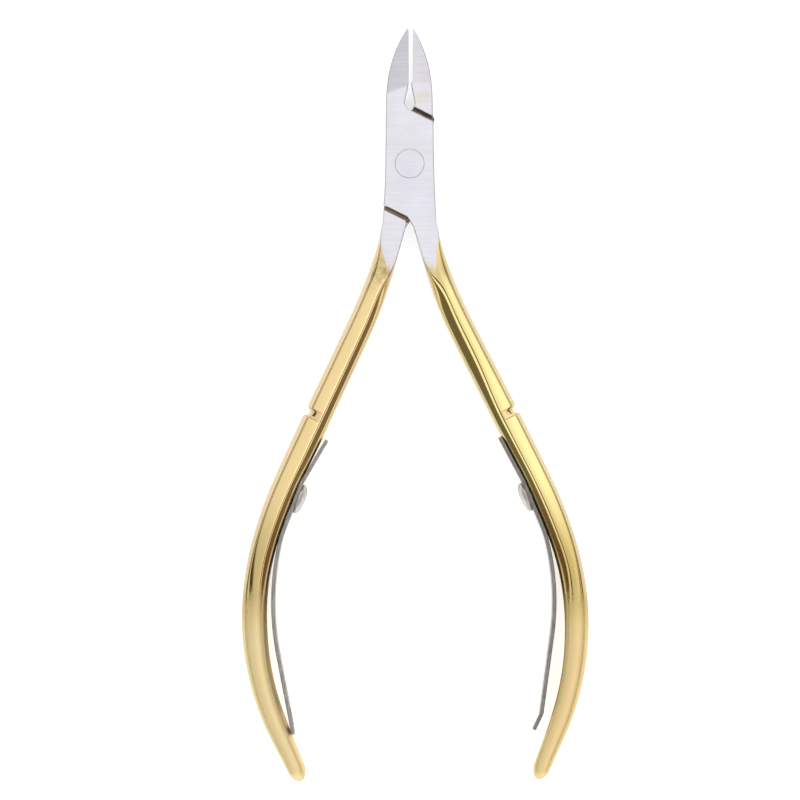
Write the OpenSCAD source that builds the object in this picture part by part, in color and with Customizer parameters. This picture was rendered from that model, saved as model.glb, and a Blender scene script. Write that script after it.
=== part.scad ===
// Cuticle nipper: two forged halves in a lap joint, a flush rivet, and a leaf spring
// screwed to the inner side of each handle.
// It lies flat. +Z is up and is the front, +Y points to the jaw tips, and the origin is on
// the rivet's axis at the back face of the joint.
// Both halves are one forging. It is drawn as the front half, with its jaw at -X and its
// handle at +X, and the rear half is the same forging turned over about the Y axis.

/* [Joint] */
// Thickness of the joint, both plates together
joint_t = 5.2; // [4.8:0.1:5.6]
// Half of the joint's width at the rivet
joint_half_w = 3.42; // [3.2:0.02:3.6]
// Distance from the rivet to the edge of a plate at a shoulder slot
plate_reach = 6.74; // [6.6:0.02:6.9]
// Width of a shoulder slot
slot_w = 0.58; // [0.4:0.02:0.8]
// Slope of a shoulder slot, degrees
slot_angle = 26.5; // [22:0.5:30]
// Radius of the rivet's ground-flush ends
rivet_r = 2.0; // [1.8:0.05:2.3]

/* [Jaws] */
// Distance from the rivet to the tip of the front half's jaw
jaw_reach = 19.0; // [18:0.1:20]
// Distance from the rivet to the heel of the cutting edges
heel_y = 11.3; // [10.8:0.1:11.8]
// Slope of the ground face on the front of a jaw, degrees
front_slope = 8.5; // [5:0.5:10]
// Slope of the ground face on the back of a jaw, degrees
back_slope = 13; // [9:0.5:14]
// Angle of the hollow behind a cutting edge, degrees
bevel_angle = 27; // [20:1:32]

/* [Handles] */
// Depth of a handle, front to back, at its middle
handle_d = 4.5; // [4.2:0.1:4.8]
// How much further out the right handle is bent than the left, degrees
bend_difference = 0.8; // [0:0.1:1.5]
// How far along a handle the ring groove is
groove_s = 29.3; // [26:0.1:32]
// Depth of the ring groove on the outer side
groove_depth = 0.62; // [0.3:0.02:0.8]
// Roll of the inner flat near the handle's end, degrees
end_roll = 7; // [0:1:10]

/* [Springs] */
// Thickness of a leaf spring
leaf_t = 0.5; // [0.4:0.05:0.6]
// Width of a leaf spring at its screw
leaf_w = 3.6; // [3:0.1:3.8]
// How far along a handle the spring screw is
seat_s = 41; // [40:0.1:43]
// Radius of a spring screw's head
head_r = 2.1; // [1.8:0.05:2.2]
// Radius of a spring screw's shank
shank_r = 0.95; // [0.8:0.05:1.1]

/* [Hidden] */
$fn = 64;

FRONT = 0; // left jaw, front plate and right handle
REAR = 1;  // right jaw, rear plate and left handle
STEEL = [0.86, 0.85, 0.88];
GOLD = [0.92, 0.78, 0.45];
SPRING_STEEL = [0.60, 0.58, 0.56];
SCREW_STEEL = [0.74, 0.71, 0.68];
big = 20; // size of a cutting block

// Joint
plate_gap = 0.04;                // between the two plates' faces
mid_z = joint_t / 2;
rivet_shank_r = 1.5;
rivet_flare = 0.9;               // depth of each flared end
rivet_play = 0.03;               // running clearance in the front half
waist_y = -6.6;                  // where the joint's side turns into the shank
waist_half_w = 3.68;
bulge = [0.12, -4];              // how far the joint's side swells below the rivet, and where
shank_s = 0.4;                   // where the shank's outline runs into the handle
neck_y = 7.2;                    // where the joint's side turns into the jaw

// Jaws, [front half, rear half]; every x is on the half's own jaw side
edge_x = [-0.15, -0.43];         // cutting edge
heel_x = [-0.16, -0.22];         // heel of the cutting edge
jaw_root_w = [3.33, 3.24];       // half width where the jaw starts
tip_y = [jaw_reach, jaw_reach - 0.05];
tip_w = [0.3, 0.55];
jaw_power = 2.6;                 // how late the jaw's outer side curves in
facet_y = [11.0, 11.25];         // where the front ground face starts, on the cutting edge
facet_skew = [20, 0];            // slope of its border, degrees
back_facet_y = 9;
heel_run = 0.3;                  // from the heel to where the edge runs straight
tip_clip = 0.25;                 // length of the clipped corner at the tip
edge_land = 0.35;                // flat height of a cutting edge
relief_corner = [-0.79, 8.37];   // side corner of the opening behind the edges
relief_end = [-0.08, 7.39];      // lower corner of that opening
plate_tip_x = 0.14;
crotch = [0.32, 0.53];           // x of the plate's and the shank's inner corners

// Handle, [length, turn in degrees] from the shank down to the handle's end
handle_start = [2.07, -8];
handle_heading = 13.5;           // outwards from straight down
handle_path = [[1.6, 0], [14.6, 12.5], [23.1, 0], [9.4, -9.1], [28, -41.6], [6.5, 3]];
bend_share = [0, 1, 0, 0.8, 0, 0];  // each stretch's share of bend_difference
handle_end = 83.2;
handle_width = [[0, 3.3], [4, 3.1], [14, 3.7], [32, 3.9],
                [50, 3.55], [62, 3.3], [74, 2.9], [80, 2.4]];
handle_depth = [[0, joint_t], [12, handle_d + 0.1], [50, handle_d - 0.1],
                [70, handle_d - 0.5], [83, 2.8]];
squareness = [[0, 5], [8, 2.6], [40, 2.4], [84, 2.3]];
flatness = [[groove_s, 1], [groove_s + 5, 1.3], [70, 1.35], [82, 1.05]];
roll = [[46, 0], [62, end_roll]];
groove_half = 0.7;               // half of the groove's width at its mouth
groove_floor = 0.2;              // half of the groove's width at its floor
tip_round = 2.2;                 // length of the rounded end
ring_step = 1.5;
ring_clear = 0.3;                // least distance between a ring and the groove
ring_points = 24;

// Springs, [front half, rear half]
seat_tilt = [2.5, 2.5];          // the milled seat against the handle, degrees
seat_below = 2.7;                // length of the seat below the screw
tail_lift = [5.4, 9.5];          // how far the tail bends off the handle, degrees
tail_straight = 2.3;
tail_end = 9.2;
tail_kink = 0.3;                 // length of the tail's bend
tail_gap = 0.02;                 // from the bent tail to the handle
leaf_path = [[[4.8, 0], [2, -9], [13.3, -21.5], [10.9, 0], [0.5, -17.5], [2.1, 0]],
             [[4.8, 0], [2, -8.5], [15.5, -23.2], [11.4, 0]]];
tongue_len = 2.9;                // narrowed length at the end of the front half's spring
flex_s = 6;                      // the leaf bends about a line here
flex_gap = 0.07;                 // from that line to each solid
leaf_wide_to = 5;                // the leaf narrows from here to leaf_end_w
leaf_end_w = 2.8;
leaf_corner_r = [1, 0.6];        // at the tail and at the far end
tongue_w = 1.3;
hook_slot = [1.5, 2.2];          // width and length of the slot that the tongue hooks into
hook_slot_end = 1.3;             // from the slot to the leaf's end
head_rim = 0.25;
head_dome = 0.8;
driver_slot = [0.5, 0.5];        // width and depth
driver_turn = [72, -72];         // how far the screw is turned past square, degrees
shank_len = 2.3;                 // in the handle
screw_play = 0.1;                // around the shank in the leaf

// A path of straights and arcs: [x, y, heading] after a distance s along it.
function path_step(p, d, turn) =
    let (half = turn / 2, chord = turn == 0 ? d : d * sin(half) / (half * PI / 180))
    [p[0] + chord * sin(p[2] + half), p[1] - chord * cos(p[2] + half), p[2] + turn];
function along(path, s, p, i = 0) =
    let (len = path[i][0], d = min(s, len), q = path_step(p, d, path[i][1] * d / len))
    (s <= len || i == len(path) - 1) ? q : along(path, s - len, q, i + 1);

function power(v, e) = sign(v) * pow(abs(v), e);
function bent_path(side) =
    let (extra = side == FRONT ? bend_difference : -bend_difference)
    [for (i = [0:len(handle_path) - 1])
        [handle_path[i][0], handle_path[i][1] + extra * bend_share[i]]];
function spine(side, s) =
    along(bent_path(side), s, [handle_start[0], handle_start[1], handle_heading]);

// Depth of the ring groove: full on the outer side, none on the inner side.
function groove(s, t) =
    let (d = abs(s - groove_s), ramp = (groove_half - d) / (groove_half - groove_floor))
    groove_depth * min(1, max(0, ramp)) * (0.5 + 0.5 * cos(t));
function end_taper(s) =
    let (d = max(0, s - handle_end + tip_round) / tip_round)
    sqrt(max(0.004, 1 - d * d));

// One ring of the handle. An oval, flattened on the inner side.
function ring(side, s) =
    let (p = spine(side, s), e = 2 / lookup(s, squareness), k = lookup(s, flatness),
         w = lookup(s, handle_width) / 2, d = lookup(s, handle_depth) / 2,
         r = lookup(s, roll), taper = end_taper(s))
    [for (i = [0:ring_points - 1])
        let (t = 360 * i / ring_points, oval = power(cos(t), e),
             a = taper * (max(-w, oval * w * (oval < 0 ? k : 1)) - groove(s, t) * max(0, cos(t))),
             b = taper * (d * power(sin(t), e) - groove(s, t) * sin(t) * 0.5),
             out = a * cos(r) - b * sin(r), up = a * sin(r) + b * cos(r))
        [p[0] + out * cos(p[2]), p[1] + out * sin(p[2]), mid_z + up]];

function ring_places() = concat(
    [for (s = [0:ring_step:groove_s - groove_half - ring_clear]) s],
    [for (d = [-groove_half, -groove_floor, groove_floor, groove_half]) groove_s + d],
    [for (s = [groove_s + 2:ring_step:handle_end - tip_round - ring_clear]) s],
    [for (d = [1, 0.6, 0.3, 0.1, 0]) handle_end - tip_round * d]);

module handle(side) {
    places = ring_places();
    rings = len(places);
    n = ring_points;
    polyhedron(
        points = [for (s = places) each ring(side, s)],
        faces = concat(
            [[for (i = [0:n - 1]) i]],
            [for (j = [0:rings - 2], i = [0:n - 1]) [j * n + i, (j + 1) * n + i, j * n + (i + 1) % n]],
            [for (j = [0:rings - 2], i = [0:n - 1])
                [(j + 1) * n + i, (j + 1) * n + (i + 1) % n, j * n + (i + 1) % n]],
            [[for (i = [n - 1:-1:0]) (rings - 1) * n + i]]),
        convexity = 6);
}

// The line of a shoulder slot above the rivet, for a line at distance d from the rivet.
function slot_y(x, d) = (d - x * sin(slot_angle)) / cos(slot_angle);
function jaw_side(side, y) =
    let (u = max(0, y - neck_y) / (tip_y[side] - neck_y))
    jaw_root_w[side] - (jaw_root_w[side] - tip_w[side]) * pow(u, jaw_power);

// Points shared by the outlines, on the half's own sides.
function jaw_outer(side, from_y) =
    let (steps = 14)
    [for (i = [steps:-1:0])
        let (y = from_y + (tip_y[side] - from_y) * sqrt(i / steps)) [-jaw_side(side, y), y]];
function jaw_inner(side) = [
    relief_corner,
    [heel_x[side], heel_y],
    [edge_x[side], heel_y + heel_run],
    [edge_x[side], tip_y[side] - tip_clip]];
function shank_root(side, across) =
    let (p = spine(side, shank_s), w = across * handle_width[0][1] / 2)
    [p[0] + w * cos(p[2]), p[1] + w * sin(p[2])];

module front_layer(side) {
    shoulder = plate_reach;
    polygon(concat(
        jaw_outer(side, neck_y),
        [[-joint_half_w, 0],
         [-joint_half_w - bulge[0], bulge[1]],
         [-waist_half_w, -slot_y(waist_half_w, shoulder)],
         [-crotch[0], -slot_y(crotch[0], shoulder)],
         shank_root(side, -1),
         shank_root(side, 1),
         [waist_half_w, waist_y],
         [joint_half_w + bulge[0], bulge[1]],
         [joint_half_w, 0],
         [jaw_root_w[side], slot_y(jaw_root_w[side], shoulder)],
         [plate_tip_x, slot_y(plate_tip_x, shoulder)],
         relief_end],
        jaw_inner(side)));
}

module rear_layer_jaw(side) {
    shoulder = plate_reach + slot_w;
    polygon(concat(
        jaw_outer(side, neck_y),
        [[-jaw_root_w[side], slot_y(jaw_root_w[side], shoulder)],
         [-crotch[1], slot_y(crotch[1], shoulder)]],
        jaw_inner(side)));
}

module rear_layer_shank(side) {
    shoulder = plate_reach + slot_w;
    polygon([
        [crotch[1], -slot_y(crotch[1], shoulder)],
        shank_root(side, -1),
        shank_root(side, 1),
        [waist_half_w, waist_y],
        [waist_half_w, -slot_y(waist_half_w, shoulder)]]);
}

// Blocks that grind the jaw. They are drawn for a cutting edge at the top face.
module jaw_grinding(side) {
    translate([edge_x[side], facet_y[side], joint_t])
        rotate([0, 0, facet_skew[side]])
        rotate([-front_slope, 0, 0])
        translate([-big / 2, 0, 0])
        cube([big, big, big]);
    translate([0, back_facet_y, 0])
        rotate([back_slope, 0, 0])
        translate([-big / 2, 0, -big])
        cube([big, big, big]);
    translate([edge_x[side], heel_y + heel_run, joint_t - edge_land])
        rotate([-front_slope, 0, 0])
        rotate([0, bevel_angle, 0])
        translate([0, 0, -big])
        cube([big, big, big]);
}

module joint_and_jaw(side) {
    layer_z = mid_z + plate_gap / 2;
    difference() {
        union() {
            translate([0, 0, layer_z]) linear_extrude(joint_t - layer_z) front_layer(side);
            linear_extrude(layer_z) rear_layer_jaw(side);
            linear_extrude(layer_z) rear_layer_shank(side);
        }
        if (side == FRONT) jaw_grinding(side);
        else translate([0, 0, joint_t]) mirror([0, 0, 1]) jaw_grinding(side);
    }
}

// The seat of the spring: +X points out of the handle's outer side, -Y down the handle.
module at_seat(side) {
    p = spine(side, seat_s);
    w = lookup(seat_s, handle_width) / 2;
    translate([p[0] - w * cos(p[2]), p[1] - w * sin(p[2]), mid_z])
        rotate([0, 0, p[2] - seat_tilt[side]])
        children();
}

// Turns the rear half and what is fixed to it over to its own side.
module on_side(side) {
    if (side == FRONT) children();
    else translate([0, 0, joint_t]) rotate([0, 180, 0]) children();
}

module rivet_solid(play) {
    flare_r = rivet_r + play;
    pin_r = rivet_shank_r + play;
    rotate_extrude() polygon([
        [0, 0], [flare_r, 0], [pin_r, rivet_flare],
        [pin_r, joint_t - rivet_flare], [flare_r, joint_t], [0, joint_t]]);
}

module half(side) {
    on_side(side) difference() {
        union() {
            color(STEEL) joint_and_jaw(side);
            color(GOLD) handle(side);
        }
        rivet_solid(side == FRONT ? rivet_play : 0);
        at_seat(side) {
            translate([-big, -seat_below, -big / 2]) cube([big, seat_below + tail_straight, big]);
            translate([tail_gap, tail_straight, 0])
                rotate([0, 0, tail_lift[side]])
                translate([-big, 0, -big / 2])
                cube([big, tail_end - tail_straight, big]);
            rotate([0, 90, 0]) cylinder(r = shank_r, h = shank_len + 0.2);
        }
    }
}

// The leaf's middle line in the seat's frame, s from the screw; the tail has s below zero.
function leaf_point(side, s) =
    s >= 0 ? along(leaf_path[side], s, [-leaf_t / 2, 0, 0])
    : let (bent = max(0, -s - tail_straight), a = tail_lift[side])
      [-leaf_t / 2 - bent * sin(a), -s - bent * (1 - cos(a)), bent > 0 ? a : 0];
function leaf_length(side) = let (v = [for (seg = leaf_path[side]) seg[0]]) v * [for (x = v) 1];
function leaf_side(side, s, across) =
    let (p = leaf_point(side, s), w = across * leaf_t / 2)
    [p[0] + w * cos(p[2]), p[1] + w * sin(p[2])];

module leaf_strip(side, places) {
    n = len(places);
    polygon(concat(
        [for (i = [0:n - 1]) leaf_side(side, places[i], 1)],
        [for (i = [n - 1:-1:0]) leaf_side(side, places[i], -1)]));
}

// The leaf seen square on, s down and the width across.
module leaf_outline(side) {
    end_s = leaf_length(side);
    body_end = side == FRONT ? end_s - tongue_len : end_s;
    tail_r = leaf_corner_r[0];
    end_r = leaf_corner_r[1];
    hull() {
        for (z = [-1, 1]) {
            translate([z * (leaf_w / 2 - tail_r), tail_end - tail_r]) circle(r = tail_r);
            translate([z * (leaf_w / 2 - end_r), -leaf_wide_to]) circle(r = end_r);
            translate([z * (leaf_end_w / 2 - end_r), -body_end + end_r]) circle(r = end_r);
        }
    }
    if (side == FRONT)
        translate([-tongue_w / 2, -end_s - 1]) square([tongue_w, end_s - body_end + 3]);
}

module leaf(side, places) {
    end_s = leaf_length(side);
    on_side(side) at_seat(side) difference() {
        intersection() {
            translate([0, 0, -leaf_w / 2]) linear_extrude(leaf_w) leaf_strip(side, places);
            translate([big / 2, 0, 0])
                rotate([0, -90, 0])
                linear_extrude(big * 1.5) leaf_outline(side);
        }
        translate([-2 * leaf_t, 0, 0])
            rotate([0, 90, 0])
            cylinder(r = shank_r + screw_play, h = 3 * leaf_t);
        if (side == REAR)
            translate([-big / 2, -end_s + hook_slot_end, -hook_slot[0] / 2])
                cube([1.5 * big, hook_slot[1], hook_slot[0]]);
    }
}

module spring_root(side) {
    straight_end = leaf_path[side][0][0];
    bend_steps = 4;
    root_end = flex_s - flex_gap;
    color(SPRING_STEEL) leaf(side, concat(
        [-tail_end, -tail_straight - tail_kink, -tail_straight, 0],
        [for (i = [0:bend_steps]) straight_end + (root_end - straight_end) * i / bend_steps]));
}

module spring_blade(side) {
    from_s = flex_s + flex_gap;
    arc_end = leaf_path[side][0][0] + leaf_path[side][1][0] + leaf_path[side][2][0];
    arc_steps = 14;
    end_s = leaf_length(side);
    kick = leaf_path[FRONT][4][0];
    kick_end = end_s - leaf_path[FRONT][5][0];
    color(SPRING_STEEL) leaf(side, concat(
        [for (i = [0:arc_steps]) from_s + (arc_end - from_s) * i / arc_steps],
        side == FRONT ? [kick_end - kick, kick_end - kick / 2, kick_end, end_s] : [end_s]));
}

module spring_screw(side) {
    dome_r = (head_r * head_r + head_dome * head_dome) / (2 * head_dome);
    top = head_rim + head_dome;
    color(SCREW_STEEL) on_side(side) at_seat(side) translate([-leaf_t, 0, 0]) rotate([0, -90, 0])
        difference() {
            union() {
                translate([0, 0, -leaf_t - shank_len]) cylinder(r = shank_r, h = leaf_t + shank_len);
                intersection() {
                    cylinder(r = head_r, h = top);
                    translate([0, 0, top - dome_r]) sphere(r = dome_r);
                }
            }
            rotate([0, 0, driver_turn[side]])
                translate([-head_r - 1, -driver_slot[0] / 2, top - driver_slot[1]])
                cube([2 * head_r + 2, driver_slot[0], 1]);
        }
}

module front_half() { half(FRONT); }
module rear_half() { half(REAR); }
module joint_rivet() { color(STEEL) rivet_solid(0); }
module left_spring_root() { spring_root(REAR); }
module left_spring_blade() { spring_blade(REAR); }
module left_spring_screw() { spring_screw(REAR); }
module right_spring_root() { spring_root(FRONT); }
module right_spring_blade() { spring_blade(FRONT); }
module right_spring_screw() { spring_screw(FRONT); }

front_half();
rear_half();
joint_rivet();
left_spring_root();
left_spring_blade();
left_spring_screw();
right_spring_root();
right_spring_blade();
right_spring_screw();
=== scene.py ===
import math

import bmesh
import bpy
from mathutils import Matrix, Vector


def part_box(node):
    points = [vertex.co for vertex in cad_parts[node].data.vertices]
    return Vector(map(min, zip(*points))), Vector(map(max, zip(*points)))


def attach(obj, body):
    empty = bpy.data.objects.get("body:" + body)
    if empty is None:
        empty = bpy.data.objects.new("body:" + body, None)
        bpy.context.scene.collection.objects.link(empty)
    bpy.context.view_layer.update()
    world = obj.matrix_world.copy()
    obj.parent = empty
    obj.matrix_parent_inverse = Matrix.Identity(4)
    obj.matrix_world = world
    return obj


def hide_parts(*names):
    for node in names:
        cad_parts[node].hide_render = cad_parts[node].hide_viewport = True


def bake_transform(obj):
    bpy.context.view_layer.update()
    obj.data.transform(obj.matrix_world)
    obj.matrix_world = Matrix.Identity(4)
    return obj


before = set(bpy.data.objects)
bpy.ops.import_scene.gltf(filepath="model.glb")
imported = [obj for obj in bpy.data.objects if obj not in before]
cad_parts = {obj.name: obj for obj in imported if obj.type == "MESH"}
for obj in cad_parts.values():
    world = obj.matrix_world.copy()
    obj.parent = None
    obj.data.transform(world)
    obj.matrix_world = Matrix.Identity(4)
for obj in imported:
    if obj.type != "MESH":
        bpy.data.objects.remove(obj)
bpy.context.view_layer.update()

MM = 0.001
FRONT = 0  # left jaw, front plate, right handle and right spring
REAR = 1  # the same forging turned over: right jaw, rear plate, left handle and left spring
BODY = ["front", "rear"]
BIG = 20  # size of a cutting block

# Everything below is in millimetres, and on the front half's own sides: jaw at -X, handle
# at +X. The CAD boxes give what can be read from them.
rivet_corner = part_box("joint_rivet")[1]
JOINT_T = rivet_corner.z / MM
MID_Z = JOINT_T / 2
RIVET_R = rivet_corner.x / MM
TIP_Y = [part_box("front_half")[1].y / MM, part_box("rear_half")[1].y / MM]

# Joint
JOINT_HALF_W = 3.42
PLATE_REACH = 6.74
SLOT_W = 0.58
SLOT_ANGLE = math.radians(26.5)
PLATE_GAP = 0.04
RIVET_PIN_R = 1.5
RIVET_FLARE = 0.9
RIVET_PLAY = 0.03
WAIST = (3.68, -6.6)
BULGE = (0.12, -4)
NECK_Y = 7.2

# Jaws, [front half, rear half]
HEEL_Y = 11.3
HEEL_RUN = 0.3
TIP_CLIP = 0.25
EDGE_X = [-0.15, -0.43]
HEEL_X = [-0.16, -0.22]
JAW_ROOT_W = [3.33, 3.24]
TIP_W = [0.3, 0.55]
JAW_POWER = 2.6
FACET_Y = [11.0, 11.25]
FACET_SKEW = [20, 0]
FRONT_SLOPE = 8.5
BACK_SLOPE = 13
BACK_FACET_Y = 9
BEVEL_ANGLE = 27
EDGE_LAND = 0.35
RELIEF_CORNER = (-0.79, 8.37)
RELIEF_END = (-0.08, 7.39)
PLATE_TIP_X = 0.14
CROTCH = [0.32, 0.53]

# Handle: [length, turn in degrees] from the shank down to the handle's end
HANDLE_START = (2.07, -8)
HANDLE_HEADING = 13.5
HANDLE_PATH = [(1.6, 0), (14.6, 12.5), (23.1, 0), (9.4, -9.1), (28, -41.6), (6.5, 3)]
BEND_SHARE = [0, 1, 0, 0.8, 0, 0]
BEND_DIFFERENCE = 0.8
HANDLE_END = 83.18
# Its width, depth and roll as (distance along it, value)
HANDLE_WIDTH = [(0, 3.28), (4, 3.1), (14, 3.69), (32, 3.88),
                (50, 3.51), (62, 3.26), (74, 2.88), (80, 2.38)]
HANDLE_DEPTH = [(0.3, 5.6), (5.5, 5.34), (9, 4.95), (14, 4.62),
                (50, 4.4), (70, 4.0), (83, 2.8)]
ROLL = [(46, 0), (62, 7)]
GROOVE_S = 29.3
GROOVE_DEPTH = 0.62
GROOVE_SINK = 0.07  # its depth on the face
TIP_ROUND = 2.2
# Rings across the groove: (distance from its middle, share of its depth)
GROOVE_RINGS = [(-1.1, 0), (-0.78, 0), (-0.68, 0.12), (-0.3, 0.95), (-0.2, 1)]
GROOVE_RINGS += [(-d, depth) for d, depth in reversed(GROOVE_RINGS)]

# The handle's cross-section as (outwards, up) shares of its half width and half depth, from
# the outer side over the face to the inner side: at the ground joint, along the front face,
# on the front face below the groove, along the back face, and near the handle's end.
SHANK_SECTION = [(1, 0), (1, 0.4), (1, 0.72), (1, 0.955), (0.945, 1), (0.5, 1), (0.1, 1), (-0.3, 1),
                 (-0.62, 1), (-0.945, 1), (-1, 0.955), (-1, 0.6), (-1, 0.2), (-1, 0)]
FACE_SECTION = [(1, 0), (0.985, 0.5), (0.85, 0.77), (0.75, 0.9), (0.68, 0.94), (0.6, 0.958),
                (0.12, 0.985), (0, 0.967), (-0.16, 0.932), (-0.4, 0.845), (-0.68, 0.71), (-0.9, 0.6),
                (-0.99, 0.44), (-1, 0)]
LOW_FACE_SECTION = [(1, 0), (0.985, 0.5), (0.85, 0.77), (0.75, 0.9), (0.68, 0.94), (0.6, 0.958),
                    (-0.13, 0.985), (-0.25, 0.967), (-0.41, 0.932), (-0.6, 0.85), (-0.8, 0.75),
                    (-0.93, 0.66), (-0.99, 0.44), (-1, 0)]
BACK_SECTION = [(1, 0), (0.98, 0.48), (0.82, 0.76), (0.68, 0.9), (0.6, 0.94), (0.52, 0.955),
                (0, 0.99), (-0.28, 0.984), (-0.36, 0.971), (-0.44, 0.952), (-0.62, 0.872),
                (-0.93, 0.71), (-1, 0.5), (-1, 0)]
END_SECTION = [(1, 0), (1, 0.34), (0.97, 0.6), (0.86, 0.8), (0.62, 0.93), (0.3, 0.985), (0, 1),
               (-0.3, 0.99), (-0.55, 0.96), (-0.76, 0.9), (-0.93, 0.8), (-1, 0.66), (-1, 0.3), (-1, 0)]

# Springs, [front half, rear half]
LEAF_T = 0.5
LEAF_W = 3.6
LEAF_END_W = 2.8
LEAF_WIDE_TO = 5
SEAT_S = 41
SEAT_TILT = [2.5, 2.5]
SEAT_BELOW = 2.7
TAIL_LIFT = [5.4, 9.5]
TAIL_STRAIGHT = 2.3
TAIL_END = 9.2
TAIL_GAP = 0.02
LEAF_PATH = [[(4.8, 0), (2, -9), (13.3, -21.5), (10.9, 0), (0.5, -17.5), (2.1, 0)],
             [(4.8, 0), (2, -8.5), (15.5, -23.2), (11.4, 0)]]
TONGUE_LEN = 2.3
TONGUE_W = 1.3
HOOK_SLOT = (1.5, 2.2)
HOOK_SLOT_END = 1.3
FLEX_S = 6
FLEX_REACH = 3.9
HEAD_R = 2.1
HEAD_RIM = 0.25
HEAD_DOME = 0.8
SHANK_R = 0.95
SHANK_LEN = 2.3
SCREW_PLAY = 0.1
DRIVER_SLOT = (0.5, 0.5)
DRIVER_TURN = [72, -72]


def lookup(table, s):
    """The value at s in a table of (place, value), straight between the places."""
    for (s0, v0), (s1, v1) in zip(table, table[1:]):
        if s <= s1:
            return v0 + (v1 - v0) * max(0, (s - s0) / (s1 - s0))
    return table[-1][1]


def ease(value, low, high):
    t = min(1, max(0, (value - low) / (high - low)))
    return t * t * (3 - 2 * t)


def along(path, s, start):
    """The point and heading after a distance s along a path of straights and arcs."""
    x, y, heading = start
    for i, (length, turn) in enumerate(path):
        last = i == len(path) - 1
        d = s if last or s < length else length
        turned = turn * d / length
        half = math.radians(turned / 2)
        chord = d if half == 0 else d * math.sin(half) / half
        middle = math.radians(heading) + half
        x, y, heading = x + chord * math.sin(middle), y - chord * math.cos(middle), heading + turned
        if d == s:
            break
        s -= length
    return x, y, heading


def spine(side, s):
    extra = BEND_DIFFERENCE if side == FRONT else -BEND_DIFFERENCE
    path = [(length, turn + extra * share) for (length, turn), share in zip(HANDLE_PATH, BEND_SHARE)]
    return along(path, s, (*HANDLE_START, HANDLE_HEADING))


# Meshes


def mesh_object(name, points, faces):
    mesh = bpy.data.meshes.new(name)
    mesh.from_pydata([Vector(p) * MM for p in points], [], faces)
    mesh.update()
    piece = bpy.data.objects.new(name, mesh)
    bpy.context.scene.collection.objects.link(piece)
    return piece


def point_outwards(piece):
    work = bmesh.new()
    work.from_mesh(piece.data)
    bmesh.ops.recalc_face_normals(work, faces=work.faces)
    work.to_mesh(piece.data)
    work.free()


def add_modifier(piece, kind, **settings):
    step = piece.modifiers.new(kind.lower(), kind)
    for name, value in settings.items():
        setattr(step, name, value)
    return step


def apply_stack(piece):
    bpy.context.view_layer.update()
    finished = piece.evaluated_get(bpy.context.evaluated_depsgraph_get())
    mesh = bpy.data.meshes.new_from_object(finished)
    piece.modifiers.clear()
    coarse, piece.data = piece.data, mesh
    bpy.data.meshes.remove(coarse)


def join_or_cut(piece, tool, operation):
    add_modifier(piece, "BOOLEAN", operation=operation, object=tool, solver="EXACT")
    apply_stack(piece)
    bpy.data.objects.remove(tool)


def prism(name, outline, low, high):
    n = len(outline)
    points = [(x, y, z) for z in (low, high) for x, y in outline]
    walls = [(i, (i + 1) % n, n + (i + 1) % n, n + i) for i in range(n)]
    piece = mesh_object(name, points, [tuple(range(n)), tuple(range(n, 2 * n))] + walls)
    point_outwards(piece)
    return piece


def block(name, low, high, place):
    corners = [(low[0], low[1]), (high[0], low[1]), (high[0], high[1]), (low[0], high[1])]
    piece = prism(name, corners, low[2], high[2])
    piece.data.transform(place)
    return piece


def move(x, y, z):
    return Matrix.Translation(Vector((x, y, z)) * MM)


def turn(degrees, axis):
    return Matrix.Rotation(math.radians(degrees), 4, axis)


def turned_over(side):
    """Turns the rear half and what is fixed to it over to its own side."""
    return Matrix.Identity(4) if side == FRONT else move(0, 0, JOINT_T) @ turn(180, "Y")


def drop_slivers(mesh):
    """The cuts leave a few edges with next to no length, and slivers beside them."""
    shortest_edge = 0.0005 * MM
    work = bmesh.new()
    work.from_mesh(mesh)
    bmesh.ops.dissolve_degenerate(work, dist=shortest_edge, edges=work.edges)
    work.to_mesh(mesh)
    work.free()


def finish_shading(piece, sharp_angle):
    mesh = piece.data
    drop_slivers(mesh)
    mesh.polygons.foreach_set("use_smooth", [True] * len(mesh.polygons))
    mesh.set_sharp_from_angle(angle=math.radians(sharp_angle))
    add_modifier(piece, "WEIGHTED_NORMAL", mode="FACE_AREA", keep_sharp=True)
    apply_stack(piece)


# Halves


def smooth_line(points, steps):
    """A smooth curve through the points."""
    line = []
    for i in range(len(points) - 1):
        before, after = points[max(0, i - 1)], points[min(len(points) - 1, i + 2)]
        a, b = points[i], points[i + 1]
        for k in range(steps):
            t = k / steps
            line.append(tuple(
                0.5 * (2 * a[c] + (b[c] - before[c]) * t
                       + (2 * before[c] - 5 * a[c] + 4 * b[c] - after[c]) * t * t
                       + (3 * a[c] - before[c] - 3 * b[c] + after[c]) * t ** 3)
                for c in (0, 1)))
    return line + [points[-1]]


def slot_y(x, distance):
    return (distance - x * math.sin(SLOT_ANGLE)) / math.cos(SLOT_ANGLE)


def jaw_outer(side, steps=44):
    root, tip = NECK_Y, TIP_Y[side]
    line = []
    for i in range(steps, -1, -1):
        y = root + (tip - root) * math.sqrt(i / steps)
        u = (y - root) / (tip - root)
        line.append((-(JAW_ROOT_W[side] - (JAW_ROOT_W[side] - TIP_W[side]) * u ** JAW_POWER), y))
    return line


def jaw_inner(side):
    return [RELIEF_CORNER, (HEEL_X[side], HEEL_Y), (EDGE_X[side], HEEL_Y + HEEL_RUN),
            (EDGE_X[side], TIP_Y[side] - TIP_CLIP)]


def shank_point(side, s, across):
    x, y, heading = spine(side, s)
    w = across * lookup(HANDLE_WIDTH, max(s, 0.3)) / 2
    return x + w * math.cos(math.radians(heading)), y + w * math.sin(math.radians(heading))


def from_rivet(x, y):
    """A point's distance from the rivet, square to the shoulder on its side."""
    return abs(x) * math.sin(SLOT_ANGLE) + abs(y) * math.cos(SLOT_ANGLE)


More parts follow.
